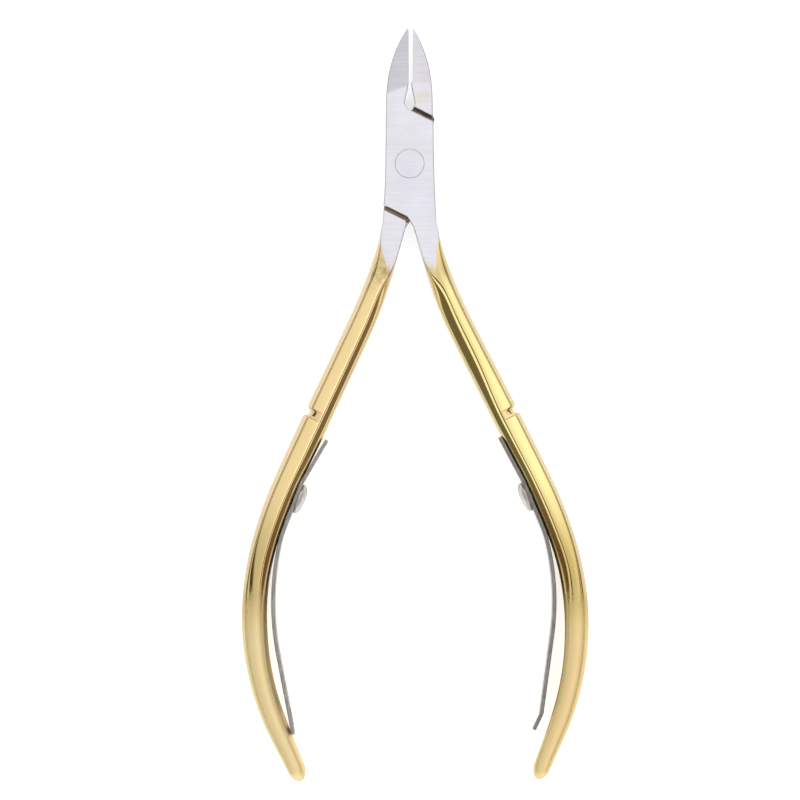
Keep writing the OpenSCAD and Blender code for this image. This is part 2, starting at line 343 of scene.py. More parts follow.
def past_shoulder(line, reach):
    """The part of a side line beyond a shoulder, from where it crosses it."""
    kept = []
    for a, b in zip(line, line[1:]):
        near, far = from_rivet(*a) - reach, from_rivet(*b) - reach
        if near < 0 < far:
            share = near / (near - far)
            kept.append((a[0] + (b[0] - a[0]) * share, a[1] + (b[1] - a[1]) * share))
        if far > 0:
            kept.append(b)
    return kept


def jaw_side(side):
    """The joint's side on the jaw's side, from below the rivet up to the jaw."""
    return smooth_line([(-WAIST[0], -slot_y(WAIST[0], PLATE_REACH)),
                        (-JOINT_HALF_W - BULGE[0], BULGE[1]),
                        (-JOINT_HALF_W, 0), (-JAW_ROOT_W[side], NECK_Y)], 6)


def outer_side(side):
    """The outer side below the rivet, from the joint down into the handle."""
    corners = [(JOINT_HALF_W, 0), (JOINT_HALF_W + BULGE[0], BULGE[1]), WAIST, shank_point(side, 0.4, 1)]
    return smooth_line(corners, 6) + [shank_point(side, 1.4, 0.96)]


def front_layer(side):
    outline = jaw_outer(side) + jaw_side(side)[-2::-1]
    outline += [(-CROTCH[0], -slot_y(CROTCH[0], PLATE_REACH))]
    outline += [shank_point(side, 0.4, -1), shank_point(side, 1.4, -0.96)]
    outline += outer_side(side)[::-1]
    outline += [(JAW_ROOT_W[side], slot_y(JAW_ROOT_W[side], PLATE_REACH))]
    outline += [(PLATE_TIP_X, slot_y(PLATE_TIP_X, PLATE_REACH)), RELIEF_END]
    return outline + jaw_inner(side)


def rear_jaw_layer(side):
    reach = PLATE_REACH + SLOT_W
    outline = jaw_outer(side) + past_shoulder(jaw_side(side), reach)[-2::-1]
    return outline + [(-CROTCH[1], slot_y(CROTCH[1], reach))] + jaw_inner(side)


def rear_shank_layer(side):
    reach = PLATE_REACH + SLOT_W
    inner = [(CROTCH[1], -slot_y(CROTCH[1], reach)),
             shank_point(side, 0.4, -1), shank_point(side, 1.4, -0.96)]
    return inner + past_shoulder(outer_side(side), reach)[::-1]


def grind_jaw(piece, side):
    """Cuts the ground faces, drawn for a cutting edge at the top face."""
    flip = Matrix.Identity(4) if side == FRONT else move(0, 0, JOINT_T) @ Matrix.Scale(-1, 4, (0, 0, 1))
    tools = [
        block("front_grind", (-BIG / 2, 0, 0), (BIG / 2, BIG, BIG),
              flip @ move(EDGE_X[side], FACET_Y[side], JOINT_T) @ turn(FACET_SKEW[side], "Z")
              @ turn(-FRONT_SLOPE, "X")),
        block("back_grind", (-BIG / 2, 0, -BIG), (BIG / 2, BIG, 0),
              flip @ move(0, BACK_FACET_Y, 0) @ turn(BACK_SLOPE, "X")),
        block("edge_hollow", (0, 0, -BIG), (BIG, BIG, 0),
              flip @ move(EDGE_X[side], HEEL_Y + HEEL_RUN, JOINT_T - EDGE_LAND)
              @ turn(-FRONT_SLOPE, "X") @ turn(BEVEL_ANGLE, "Y")),
    ]
    for tool in tools:
        point_outwards(tool)
        join_or_cut(piece, tool, "DIFFERENCE")


def soften_edges(piece, side):
    """Rounds the forging's edges: wide along its outer sides, and hardly at the cutting edge."""
    work = bmesh.new()
    work.from_mesh(piece.data)
    bmesh.ops.remove_doubles(work, verts=work.verts, dist=0.002 * MM)
    bmesh.ops.dissolve_limit(work, angle_limit=math.radians(0.5), verts=work.verts, edges=work.edges)
    weight = work.edges.layers.float.new("bevel_weight_edge")
    for edge in work.edges:
        if len(edge.link_faces) != 2 or edge.calc_face_angle(0) < math.radians(22):
            continue
        x, y, z = (edge.verts[0].co + edge.verts[1].co) / 2 / MM
        outer = abs(x) > 2.9 or (y > NECK_Y and x < -1.2)
        cutting = y > HEEL_Y and x > EDGE_X[side] - 0.3
        upright = abs(edge.verts[0].co.z - edge.verts[1].co.z) > 0.5 * MM
        reach = from_rivet(x, y)
        upper_rim = y > 0 and z > JOINT_T - 0.1 and abs(reach - PLATE_REACH) < 0.05
        lower_rim = y < 0 and z < 0.1 and abs(reach - PLATE_REACH - SLOT_W) < 0.05
        if upper_rim or lower_rim:
            edge[weight] = 0.85
        else:
            edge[weight] = 0.12 if cutting else 0.3 if upright or not outer else 1
    work.to_mesh(piece.data)
    work.free()
    add_modifier(piece, "BEVEL", width=0.2 * MM, segments=3, limit_method="WEIGHT",
                 use_clamp_overlap=False, miter_outer="MITER_ARC")
    apply_stack(piece)


def seat_place(side):
    """The spring's seat: +X points out of the handle's outer side, -Y down the handle."""
    x, y, heading = spine(side, SEAT_S)
    w = lookup(HANDLE_WIDTH, SEAT_S) / 2
    c, sn = math.cos(math.radians(heading)), math.sin(math.radians(heading))
    return move(x - w * c, y - w * sn, MID_Z) @ turn(heading - SEAT_TILT[side], "Z")


def inner_half_width(side, s):
    """The handle's half width on the inner side, where it is narrowed down to the spring's seat."""
    w = lookup(HANDLE_WIDTH, s) / 2
    x, y, heading = spine(side, s)
    inwards = Vector((-math.cos(math.radians(heading)), -math.sin(math.radians(heading)), 0))
    to_seat = seat_place(side).inverted()
    start = to_seat @ (Vector((x, y, MID_Z)) * MM) / MM
    inwards = to_seat.to_3x3() @ inwards
    if not -4 < start.y < 16:
        return w
    past = max(0, start.y + inwards.y * w - TAIL_STRAIGHT)
    return min(w, (start.x + past * math.tan(math.radians(TAIL_LIFT[side]))) / -inwards.x + 0.015)


def handle_ring(side, s, groove=0):
    x, y, heading = spine(side, s)
    c, sn = math.cos(math.radians(heading)), math.sin(math.radians(heading))
    w, d = lookup(HANDLE_WIDTH, s) / 2, lookup(HANDLE_DEPTH, s) / 2
    inner_cut = w - inner_half_width(side, s)
    r = math.radians(lookup(ROLL, s))
    past = max(0, s - HANDLE_END + TIP_ROUND) / TIP_ROUND
    taper = math.sqrt(max(0.004, 1 - past * past))
    near_end = ease(s, 50, 62)
    low = ease(s, 20, 28) * (1 - ease(s, 46, 56))
    front_face = [(p[0] * (1 - low) + q[0] * low, p[1] * (1 - low) + q[1] * low)
                  for p, q in zip(FACE_SECTION, LOW_FACE_SECTION)]
    front = (1, front_face, SHANK_SECTION, END_SECTION)
    back = (-1, BACK_SECTION[-2:0:-1], SHANK_SECTION[-2:0:-1], END_SECTION[-2:0:-1])
    ring = []
    for up, grip, shank, end in (front, back):
        for at_grip, at_shank, at_end in zip(grip, shank, end):
            formed = ease(s, 1.2, 5.5) if at_shank[0] > 0.3 else ease(s, 5.2, 10.5)
            a, b = (g * formed + k * (1 - formed) for g, k in zip(at_grip, at_shank))
            a, b = (p * (1 - near_end) + e * near_end for p, e in zip((a, b), at_end))
            notch, sink = ease(a, 0.2, 0.95) * GROOVE_DEPTH, ease(a, -0.1, 0.6) * GROOVE_SINK
            a = taper * (a * w - groove * notch + inner_cut * ease(-a, 0.2, 0.95))
            b = up * taper * min(MID_Z - 0.004, b * (d - groove * sink))
            out, rise = a * math.cos(r) - b * math.sin(r), a * math.sin(r) + b * math.cos(r)
            ring.append((x + out * c, y + out * sn, MID_Z + rise))
    return ring


def handle(side):
    places = [(s, 0) for s in (0.02, 0.1, 0.5, 1.6, 3, 4.5, 6, 7.5, 9, 11, 13.5)]
    places += [(s, 0) for s in (16.5, 19.5, 22.5, 25.5)]
    places += [(GROOVE_S + d, depth) for d, depth in GROOVE_RINGS]
    places += [(33 + 2.9 * i, 0) for i in range(17)]
    places += [(HANDLE_END - TIP_ROUND * d, 0) for d in (0.8, 0.55, 0.32, 0.15, 0.04, 0)]
    rings = [handle_ring(side, s, groove) for s, groove in places]
    n = len(rings[0])
    faces = [tuple(range(n)), tuple(range((len(rings) - 1) * n, len(rings) * n))]
    for j in range(0, (len(rings) - 1) * n, n):
        faces += [(j + i, j + (i + 1) % n, j + n + (i + 1) % n, j + n + i) for i in range(n)]
    piece = mesh_object("handle", [p for ring in rings for p in ring], faces)
    point_outwards(piece)
    add_modifier(piece, "SUBSURF", levels=2, render_levels=2)
    apply_stack(piece)
    return piece


def seat_cutter(side):
    tail = math.radians(TAIL_LIFT[side])
    rise = TAIL_END - TAIL_STRAIGHT
    high = (TAIL_GAP - rise * math.sin(tail), TAIL_STRAIGHT + rise * math.cos(tail))
    outline = [(0, -SEAT_BELOW), (0, TAIL_STRAIGHT), (TAIL_GAP, TAIL_STRAIGHT), high,
               (high[0] - 4, high[1] - 4 * math.sin(tail)), (-4, -SEAT_BELOW)]
    piece = prism("seat_cutter", outline, -BIG / 2, BIG / 2)
    piece.data.transform(seat_place(side))
    return piece


def turned(name, profile, steps=96):
    """A turned shape about Z from a profile of (radius, height), top to bottom."""
    points = [(r, 0, h) for r, h in profile]
    mesh = bpy.data.meshes.new(name)
    mesh.from_pydata([Vector(p) * MM for p in points], [(i, i + 1) for i in range(len(points) - 1)], [])
    piece = bpy.data.objects.new(name, mesh)
    bpy.context.scene.collection.objects.link(piece)
    add_modifier(piece, "SCREW", steps=steps, render_steps=steps, use_merge_vertices=True,
                 merge_threshold=0.002 * MM)
    apply_stack(piece)
    return piece


def rivet_profile(play, chamfer):
    r, pin = RIVET_R + play, RIVET_PIN_R + play
    return [(0, JOINT_T), (r - chamfer, JOINT_T), (r - chamfer * 0.3, JOINT_T - chamfer * 0.3),
            (r - chamfer * 0.2, JOINT_T - chamfer), (pin, JOINT_T - RIVET_FLARE), (pin, RIVET_FLARE),
            (r - chamfer * 0.2, chamfer), (r - chamfer * 0.3, chamfer * 0.3), (r - chamfer, 0), (0, 0)]


def half(side, name):
    layer_z = MID_Z + PLATE_GAP / 2
    piece = prism(name, front_layer(side), layer_z, JOINT_T)
    join_or_cut(piece, prism("rear_jaw", rear_jaw_layer(side), 0, layer_z + 0.5), "UNION")
    join_or_cut(piece, prism("rear_shank", rear_shank_layer(side), 0, layer_z + 0.5), "UNION")
    grind_jaw(piece, side)
    soften_edges(piece, side)
    join_or_cut(piece, handle(side), "UNION")
    bore = turned("bore", [(0, JOINT_T + 1), (RIVET_R + RIVET_PLAY, JOINT_T + 1)]
                  + rivet_profile(RIVET_PLAY, 0)[3:7] + [(RIVET_R + RIVET_PLAY, -1), (0, -1)])
    join_or_cut(piece, bore, "DIFFERENCE")
    join_or_cut(piece, seat_cutter(side), "DIFFERENCE")
    hole = turned("hole", [(0, SHANK_LEN + 0.2), (SHANK_R, SHANK_LEN + 0.2), (SHANK_R, -1), (0, -1)], 48)
    hole.data.transform(seat_place(side) @ turn(90, "Y"))
    join_or_cut(piece, hole, "DIFFERENCE")
    piece.data.transform(turned_over(side))
    finish_shading(piece, 32)
    return piece


# Springs, screws and rivet


def leaf_point(side, s):
    """The leaf's middle line in the seat's place, s down from the screw."""
    if s >= 0:
        return along(LEAF_PATH[side], s, (-LEAF_T / 2, 0, 0)) if s > 0 else (-LEAF_T / 2, 0, 0)
    bent, lift = max(0, -s - TAIL_STRAIGHT), math.radians(TAIL_LIFT[side])
    return -LEAF_T / 2 - bent * math.sin(lift), -s - bent * (1 - math.cos(lift)), 0


def leaf_half_width(side, s, end):
    half_w = LEAF_W / 2 - (LEAF_W - LEAF_END_W) / 2 * max(0, (s - LEAF_WIDE_TO) / (end - LEAF_WIDE_TO))
    body_end = end - TONGUE_LEN if side == FRONT else end + 0.35
    for corner, radius in ((s + TAIL_END, 1), (body_end - s, 0.6)):
        if 0 <= corner < radius:
            half_w -= radius - math.sqrt(radius ** 2 - (radius - corner) ** 2)
    return half_w


def leaf(side, name):
    """The whole leaf as one strip."""
    end = sum(length for length, _ in LEAF_PATH[side])
    keep = TONGUE_W / 2 if side == FRONT else HOOK_SLOT[0] / 2
    body_end = end - TONGUE_LEN
    slot = (end - HOOK_SLOT_END - HOOK_SLOT[1], end - HOOK_SLOT_END)
    places = [-TAIL_END + d for d in (0, 0.08, 0.25, 0.55, 1)]
    places += [-7.4 + 0.75 * i for i in range(7)] + [-TAIL_STRAIGHT, -TAIL_STRAIGHT + 0.3, -1]
    places += [0.75 * i for i in range(int((slot[0] if side == REAR else body_end - 0.6) / 0.75))]
    if side == FRONT:
        places += [body_end - d for d in (0.6, 0.4, 0.2, 0.08, 0)]
        places += [body_end + 0.06, end - 1.7, end - 1.2, end - 0.6, end]
    else:
        places += [slot[0], slot[0] + 0.7, slot[0] + 1.4, slot[1], slot[1] + 0.6, end - 0.2, end]
    places = sorted(set(round(p, 4) for p in places))
    points, faces = [], []
    for s in places:
        x, y, _ = leaf_point(side, s)
        w = max(keep + 0.02, leaf_half_width(side, s, end))
        points += [(x, y, z) for z in (-w, -keep, 0, keep, w)]
    for i, s in enumerate(places[:-1]):
        in_slot = side == REAR and slot[0] - 0.01 <= s < slot[1] - 0.01
        on_tongue = side == FRONT and s > body_end - 0.01
        for j in range(4):
            middle = j in (1, 2)
            if (in_slot and middle) or (on_tongue and not middle):
                continue
            faces.append((i * 5 + j, i * 5 + j + 1, i * 5 + j + 6, i * 5 + j + 5))
    piece = mesh_object(name, points, faces)
    work = bmesh.new()
    work.from_mesh(piece.data)
    bmesh.ops.delete(work, geom=[v for v in work.verts if not v.link_faces], context="VERTS")
    bmesh.ops.recalc_face_normals(work, faces=work.faces)
    work.to_mesh(piece.data)
    work.free()
    add_modifier(piece, "SOLIDIFY", thickness=LEAF_T * MM, offset=0, use_even_offset=True)
    apply_stack(piece)
    point_outwards(piece)
    hole = turned("hole", [(0, 1), (SHANK_R + SCREW_PLAY, 1), (SHANK_R + SCREW_PLAY, -1), (0, -1)], 48)
    hole.data.transform(turn(90, "Y"))
    join_or_cut(piece, hole, "DIFFERENCE")
    add_modifier(piece, "BEVEL", width=0.05 * MM, segments=2, limit_method="ANGLE",
                 angle_limit=math.radians(35), use_clamp_overlap=False)
    apply_stack(piece)
    piece.data.transform(turned_over(side) @ seat_place(side))
    finish_shading(piece, 40)
    start, stop = (
        turned_over(side) @ seat_place(side) @ (Vector((*leaf_point(side, FLEX_S + d)[:2], 0)) * MM)
        for d in (-FLEX_REACH, FLEX_REACH))
    return piece, start, stop


def screw(side, name):
    top = HEAD_RIM + HEAD_DOME
    profile = []
    for i in range(21):
        t = math.radians(90 * i / 20)
        profile.append((HEAD_R * math.sin(t), HEAD_RIM + HEAD_DOME * math.cos(t)))
    foot = -LEAF_T - SHANK_LEN
    profile += [(HEAD_R - 0.02, 0.1), (HEAD_R - 0.1, 0), (SHANK_R, 0)]
    profile += [(SHANK_R, foot + 0.2), (SHANK_R - 0.2, foot), (0, foot)]
    piece = turned(name, profile)
    width, depth = DRIVER_SLOT
    tool = block("driver_slot", (-HEAD_R - 1, -width / 2, top - depth), (HEAD_R + 1, width / 2, top + 1),
                 turn(DRIVER_TURN[side], "Z"))
    join_or_cut(piece, tool, "DIFFERENCE")
    add_modifier(piece, "BEVEL", width=0.04 * MM, segments=2, limit_method="ANGLE",
                 angle_limit=math.radians(50), use_clamp_overlap=False)
    apply_stack(piece)
    piece.data.transform(turned_over(side) @ seat_place(side) @ move(-LEAF_T, 0, 0) @ turn(-90, "Y"))
    finish_shading(piece, 40)
    return piece


# Materials


def add_node(tree, kind, inputs=None, **settings):
    made = tree.nodes.new(kind)
    for name, value in settings.items():
        setattr(made, name, value)
    for socket, value in (inputs or {}).items():
        if isinstance(value, bpy.types.NodeSocket):
            tree.links.new(value, made.inputs[socket])
        else:
            made.inputs[socket].default_value = value
    return made


def calc(tree, operation, *values):
    return add_node(tree, "ShaderNodeMath", dict(enumerate(values)), operation=operation).outputs[0]


def plus(tree, a, b):
    return calc(tree, "ADD", a, b)


def minus(tree, a, b):
    return calc(tree, "SUBTRACT", a, b)


def times(tree, a, b):
    return calc(tree, "MULTIPLY", a, b)


def apart(tree, value, middle):
    """How far a value is from a middle one, either way."""
    return calc(tree, "ABSOLUTE", minus(tree, value, middle))


def fade(tree, value, low, high, to_low=0.0, to_high=1.0):
    """A mask that goes smoothly from to_low, where the value is low, to to_high."""
    inputs = {"Value": value, "From Min": low, "From Max": high, "To Min": to_low, "To Max": to_high}
    made = add_node(tree, "ShaderNodeMapRange", inputs, interpolation_type="SMOOTHSTEP")
    return made.outputs["Result"]


def mix(tree, share, first, second, blend_type="MIX"):
    inputs = {0: share, 6: first, 7: second}
    return add_node(tree, "ShaderNodeMix", inputs, data_type="RGBA", blend_type=blend_type).outputs[2]


def noise(tree, vector, stretch, detail=2.0, roughness=0.5):
    spread = add_node(tree, "ShaderNodeMapping", {"Vector": vector, "Scale": stretch}).outputs[0]
    inputs = {"Vector": spread, "Scale": 1.0, "Detail": detail, "Roughness": roughness}
    return add_node(tree, "ShaderNodeTexNoise", inputs).outputs["Fac"]


def new_group(name, inputs, outputs):
    tree = bpy.data.node_groups.new(name, "ShaderNodeTree")
    for label, kind in inputs:
        tree.interface.new_socket(name=label, in_out="INPUT", socket_type=kind)
    for label, kind in outputs:
        tree.interface.new_socket(name=label, in_out="OUTPUT", socket_type=kind)
    return tree, tree.nodes.new("NodeGroupInput").outputs, tree.nodes.new("NodeGroupOutput").inputs


def use_group(tree, group, **inputs):
    return add_node(tree, "ShaderNodeGroup", inputs, node_tree=group).outputs


def grinding_group():
    """Cross-ground steel: fine lines across the tool, and a slow change of tone."""
    tree, given, result = new_group(
        "cross_grinding", [("Place", "NodeSocketVector")],
        [("Lines", "NodeSocketFloat"), ("Tone", "NodeSocketFloat")])
    fine = noise(tree, given["Place"], (180, 9000, 900), 3.0, 0.6)
    broad = noise(tree, given["Place"], (120, 1900, 500), 2.0, 0.5)
    cloud = noise(tree, given["Place"], (260, 260, 260), 2.0, 0.5)
    both = plus(tree, times(tree, fine, 0.55), times(tree, broad, 0.45))
    tone = plus(tree, times(tree, both, 0.7), times(tree, cloud, 0.3))
    tree.links.new(both, result["Lines"])
    tree.links.new(fade(tree, tone, 0.3, 0.7), result["Tone"])
    return tree


def speck_group():
    """Sparse small specks of tarnish and wear."""
    tree, given, result = new_group(
        "tarnish_specks",
        [("Place", "NodeSocketVector"), ("Size", "NodeSocketFloat"), ("Amount", "NodeSocketFloat")],
        [("Mask", "NodeSocketFloat")])
    cells = add_node(tree, "ShaderNodeTexVoronoi", {"Vector": given["Place"], "Scale": given["Size"]})
    lot = add_node(tree, "ShaderNodeSeparateColor", {"Color": cells.outputs["Color"]}).outputs[0]
    chosen = calc(tree, "LESS_THAN", lot, given["Amount"])
    ragged = noise(tree, given["Place"], (9000, 9000, 9000), 3.0, 0.6)
    near = plus(tree, cells.outputs["Distance"], times(tree, ragged, 0.25))
    tree.links.new(times(tree, chosen, fade(tree, near, 0.36, 0.22)), result["Mask"])
    return tree


CROSS_GRINDING = grinding_group()
TARNISH_SPECKS = speck_group()


def new_material(name, roughness=0.3):
    material = bpy.data.materials.new(name)
    material.use_nodes = True
    tree = material.node_tree
    shader = tree.nodes["Principled BSDF"]
    shader.inputs["Metallic"].default_value = 1.0
    shader.inputs["Roughness"].default_value = roughness
    place = add_node(tree, "ShaderNodeTexCoord").outputs["Object"]
    return material, tree, shader, place


def connect(tree, shader, colour, roughness, height, strength, distance):
    tree.links.new(colour, shader.inputs["Base Color"])
    tree.links.new(roughness, shader.inputs["Roughness"])
    inputs = {"Height": height, "Strength": strength, "Distance": distance}
    tree.links.new(add_node(tree, "ShaderNodeBump", inputs).outputs[0], shader.inputs["Normal"])


STEEL_LIGHT = (0.93, 0.912, 0.985, 1)
STEEL_SHADE = (0.78, 0.768, 0.84, 1)
STEEL_SIDE = (0.62, 0.64, 0.66, 1)
# Painted shade on each jaw's sloping ground face, darker on the front half's jaw
FACET_SHADE = [(0.79, 0.79, 0.79, 1), (0.90, 0.895, 0.90, 1)]
GOLD_TONE = [(0.95, 0.79, 0.36, 1), (0.92, 0.715, 0.36, 1)]
GOLD_DEEP = [(0.60, 0.45, 0.17, 1), (0.62, 0.47, 0.21, 1)]
GOLD_PALE = [(1.0, 0.765, 0.39, 1), (1.0, 0.80, 0.44, 1)]
# Painted reflection: a duller, greyer gold down the handles' steep sides
GOLD_SIDE_REFLECTION = (0.63, 0.53, 0.36, 1)
BROWN = (0.27, 0.17, 0.12, 1)
LIGHT_BROWN = (0.42, 0.285, 0.19, 1)
RUST = (0.16, 0.085, 0.035, 1)
SEAM_TONE = (0.34, 0.31, 0.33, 1)
TAN = (1.0, 0.95, 0.80, 1)
MOTTLE_TONE = (1.45, 1.28, 1.1, 1)
SMUDGE_TONE = (0.30, 0.235, 0.12, 1)
SMUDGE_SHARE = [0.25, 0.7]
# The groove's dull tan floor, partly painted shade of the recess, and the painted shade along its edges
GROOVE_FLOOR_DULL_AND_SHADE = (0.72, 0.50, 0.27, 1)
GROOVE_RIM_SHADE = (0.30, 0.19, 0.08, 1)
LEAF_SPECK = (0.62, 0.60, 0.58, 1)
SCREW_SHADE = (0.53, 0.50, 0.485, 1)
SCREW_LIGHT = (0.67, 0.64, 0.62, 1)
# Where the plating starts on the rounded shoulder: its distance out, and the border's slant
PLATING_BORDER = [(3.6, 0.04), (3.42, 0.29)]

# How open the seam round the rivet is: (degrees round from +X, strength)
SEAM = [(-180, 0.2), (-132, 0.25), (-124, 0.75), (-60, 0.85), (-50, 0.2), (18, 0.2),
        (25, 0.8), (48, 0.8), (54, 0.15), (96, 0.15), (101, 0.65), (110, 0.65), (116, 0.2),
        (128, 0.3), (134, 0.5), (142, 0.5), (150, 0.2), (180, 0.2)]


def rivet_seam(tree, place, spread):
    """The broken dark line round the rivet."""
    x, y = add_node(tree, "ShaderNodeSeparateXYZ", {0: place}).outputs[:2]
    reach = calc(tree, "SQRT", plus(tree, times(tree, x, x), times(tree, y, y)))
    off = apart(tree, reach, (RIVET_R + 0.01) * MM)
    line = fade(tree, off, spread, spread * 0.3)
    turn_share = plus(tree, calc(tree, "DIVIDE", calc(tree, "ARCTAN2", y, x), 2 * math.pi), 0.5)
    ramp = add_node(tree, "ShaderNodeValToRGB", {0: turn_share})
    stops = ramp.color_ramp.elements
    while len(stops) < len(SEAM):
        stops.new(0.5)
    for stop, (degrees, strength) in zip(stops, SEAM):
        stop.position = degrees / 360 + 0.5
    for stop, (degrees, strength) in zip(stops, SEAM):
        stop.color = (strength, strength, strength, 1)
    ragged = fade(tree, noise(tree, place, (2600, 2600, 10), 2.0), 0.3, 0.6, 0.4, 1.0)
    return times(tree, line, times(tree, ramp.outputs[0], ragged))


def ground_steel(tree, place, side):
    """Colour of the bare steel from its grinding, with painted shade on the jaw's sloping ground face.
    """
    x, y, z = add_node(tree, "ShaderNodeSeparateXYZ", {0: place}).outputs
    grinding = use_group(tree, CROSS_GRINDING, Place=place)
    colour = mix(tree, grinding["Tone"], STEEL_SHADE, STEEL_LIGHT)
    # Painted shade on the jaw's sloping ground face
    skew = math.tan(math.radians(FACET_SKEW[side]))
    line = minus(tree, y, times(tree, x, skew))
    shaded_facet = fade(tree, line, (FACET_Y[side] - 0.35) * MM, (FACET_Y[side] + 0.25) * MM)
    colour = mix(tree, shaded_facet, colour, mix(tree, 1.0, colour, FACET_SHADE[side], "MULTIPLY"))
    return colour, grinding["Lines"], (x, y, z)


def browned_slots(tree, place, steel, x, y, z):
    """Brown in the shoulder slots, below the ground faces."""
    turned_x = times(tree, x, math.sin(SLOT_ANGLE))
    turned_y = times(tree, y, math.cos(SLOT_ANGLE))
    reach = calc(tree, "ABSOLUTE", plus(tree, turned_x, turned_y))
    off = apart(tree, reach, (PLATE_REACH + SLOT_W / 2) * MM)
    in_slot = fade(tree, off, (SLOT_W / 2 + 0.09) * MM, (SLOT_W / 2 + 0.03) * MM)
    below = fade(tree, apart(tree, z, MID_Z * MM), (MID_Z - 0.1) * MM, (MID_Z - 0.25) * MM)
    streak = fade(tree, off, 0.14 * MM, 0.05 * MM)
    patchy = fade(tree, noise(tree, place, (900, 900, 900), 2.0), 0.3, 0.6, 0.3, 1.0)
    patina = mix(tree, times(tree, streak, patchy), BROWN, LIGHT_BROWN)
    return mix(tree, times(tree, in_slot, below), steel, patina)


def heat_stain(tree, steel, x, y, z):
    """A tan stain on the rear jaw, above its shoulder."""
    beside = fade(tree, apart(tree, x, 1.75 * MM), 1.2 * MM, 0.7 * MM)
    level = fade(tree, apart(tree, y, 9.1 * MM), 1.2 * MM, 0.6 * MM)
    front = fade(tree, z, 2.6 * MM, 3 * MM)
    stain = times(tree, times(tree, beside, level), front)
    return mix(tree, times(tree, stain, 0.7), steel, mix(tree, 1.0, steel, TAN, "MULTIPLY"))


def plating_mask(tree, place, x, y, side):
    """Plating starts below the ground tongue, and outside it on the rounded shoulder."""
    border, slant = PLATING_BORDER[side]
    ragged = times(tree, noise(tree, place, (900, 900, 900), 3.0), 1.3 * MM)
    ragged_y = plus(tree, y, ragged)
    on_tongue = fade(tree, ragged_y, -12.3 * MM, -15.2 * MM)
    away = calc(tree, "ABSOLUTE", x)
    beyond = minus(tree, away, times(tree, plus(tree, y, 13.2 * MM), slant))
    outside = fade(tree, beyond, (border - 0.05) * MM, (border + 0.25) * MM)
    on_shoulder = times(tree, outside, fade(tree, ragged_y, -9.2 * MM, -11 * MM))
    return calc(tree, "MAXIMUM", on_tongue, on_shoulder)


def plating_tone(tree, place, y, upward, side):
    """Gold with painted shade deeper in the handle's bend, paler below, with mottled slopes and a
    painted reflection down the steep sides.
    """
    cloud = fade(tree, noise(tree, place, (70, 45, 70), 2.0), 0.35, 0.7)
    gold = mix(tree, times(tree, cloud, 0.22), GOLD_TONE[side], GOLD_DEEP[side])
    # Painted shade: deeper gold in the handle's bend
    bend = times(tree, fade(tree, y, -43 * MM, -55.5 * MM), fade(tree, y, -67 * MM, -57.5 * MM))
    gold = mix(tree, bend, gold, GOLD_DEEP[side])
    gold = mix(tree, fade(tree, y, -59 * MM, -68 * MM), gold, GOLD_PALE[side])
    slope = times(tree, fade(tree, upward, 0.96, 0.93), fade(tree, upward, 0.80, 0.83))
    mottle = fade(tree, noise(tree, place, (5000, 3000, 5000), 3.0, 0.6), 0.35, 0.65)
    gold = mix(tree, times(tree, slope, mottle), gold,
               mix(tree, 1.0, gold, MOTTLE_TONE, "MULTIPLY"))
    # Painted reflection: duller, greyer gold down the steep sides, more of it higher up the handle
    side_reflection_share = fade(tree, y, -56 * MM, -68 * MM, 0.8, 0.3)
    gold = mix(tree, times(tree, fade(tree, upward, 0.82, 0.6), side_reflection_share), gold, GOLD_SIDE_REFLECTION)

    # Dull and smudged where it starts
    gold = mix(tree, fade(tree, y, -17.5 * MM, -13.5 * MM, 0.0, 0.45), gold, GOLD_DEEP[side])
    start = times(tree, fade(tree, y, -11.5 * MM, -13.5 * MM), fade(tree, y, -18.5 * MM, -14.5 * MM))
    blotch = noise(tree, place, (700, 450, 700), 3.0, 0.6)
    smudge = times(tree, fade(tree, blotch, 0.42, 0.62, 0.0, SMUDGE_SHARE[side]),
                   fade(tree, upward, 0.5, 0.8))
    return mix(tree, times(tree, start, smudge), gold, SMUDGE_TONE)


def groove_floor_and_shade(tree, gold, x, y, side):
    """The ring groove's dull tan floor, partly painted shade of the recess, and painted shade along its
    edges, fading out towards the inner side.
    """
    flip = 1 if side == FRONT else -1
    groove_x, groove_y, heading = spine(side, GROOVE_S)
    c, sn = math.cos(math.radians(heading)), math.sin(math.radians(heading))
    from_x = minus(tree, x, groove_x * flip * MM)
    from_y = minus(tree, y, groove_y * MM)
    down = minus(tree, times(tree, from_x, sn * flip), times(tree, from_y, c))
    out = plus(tree, times(tree, from_x, c * flip), times(tree, from_y, sn))
    off = calc(tree, "ABSOLUTE", down)
    # Dull tan floor, partly painted shade of the recess
    floor = times(tree, fade(tree, off, 0.68 * MM, 0.58 * MM), fade(tree, out, -1.1 * MM, -0.3 * MM))
    gold = mix(tree, times(tree, floor, 0.5), gold, GROOVE_FLOOR_DULL_AND_SHADE)
    # Painted shade along the groove's edges
    rim = times(tree, fade(tree, apart(tree, off, 0.62 * MM), 0.1 * MM, 0.03 * MM),
                fade(tree, out, -0.7 * MM, 0.2 * MM))
    return mix(tree, times(tree, rim, 0.65), gold, GROOVE_RIM_SHADE)


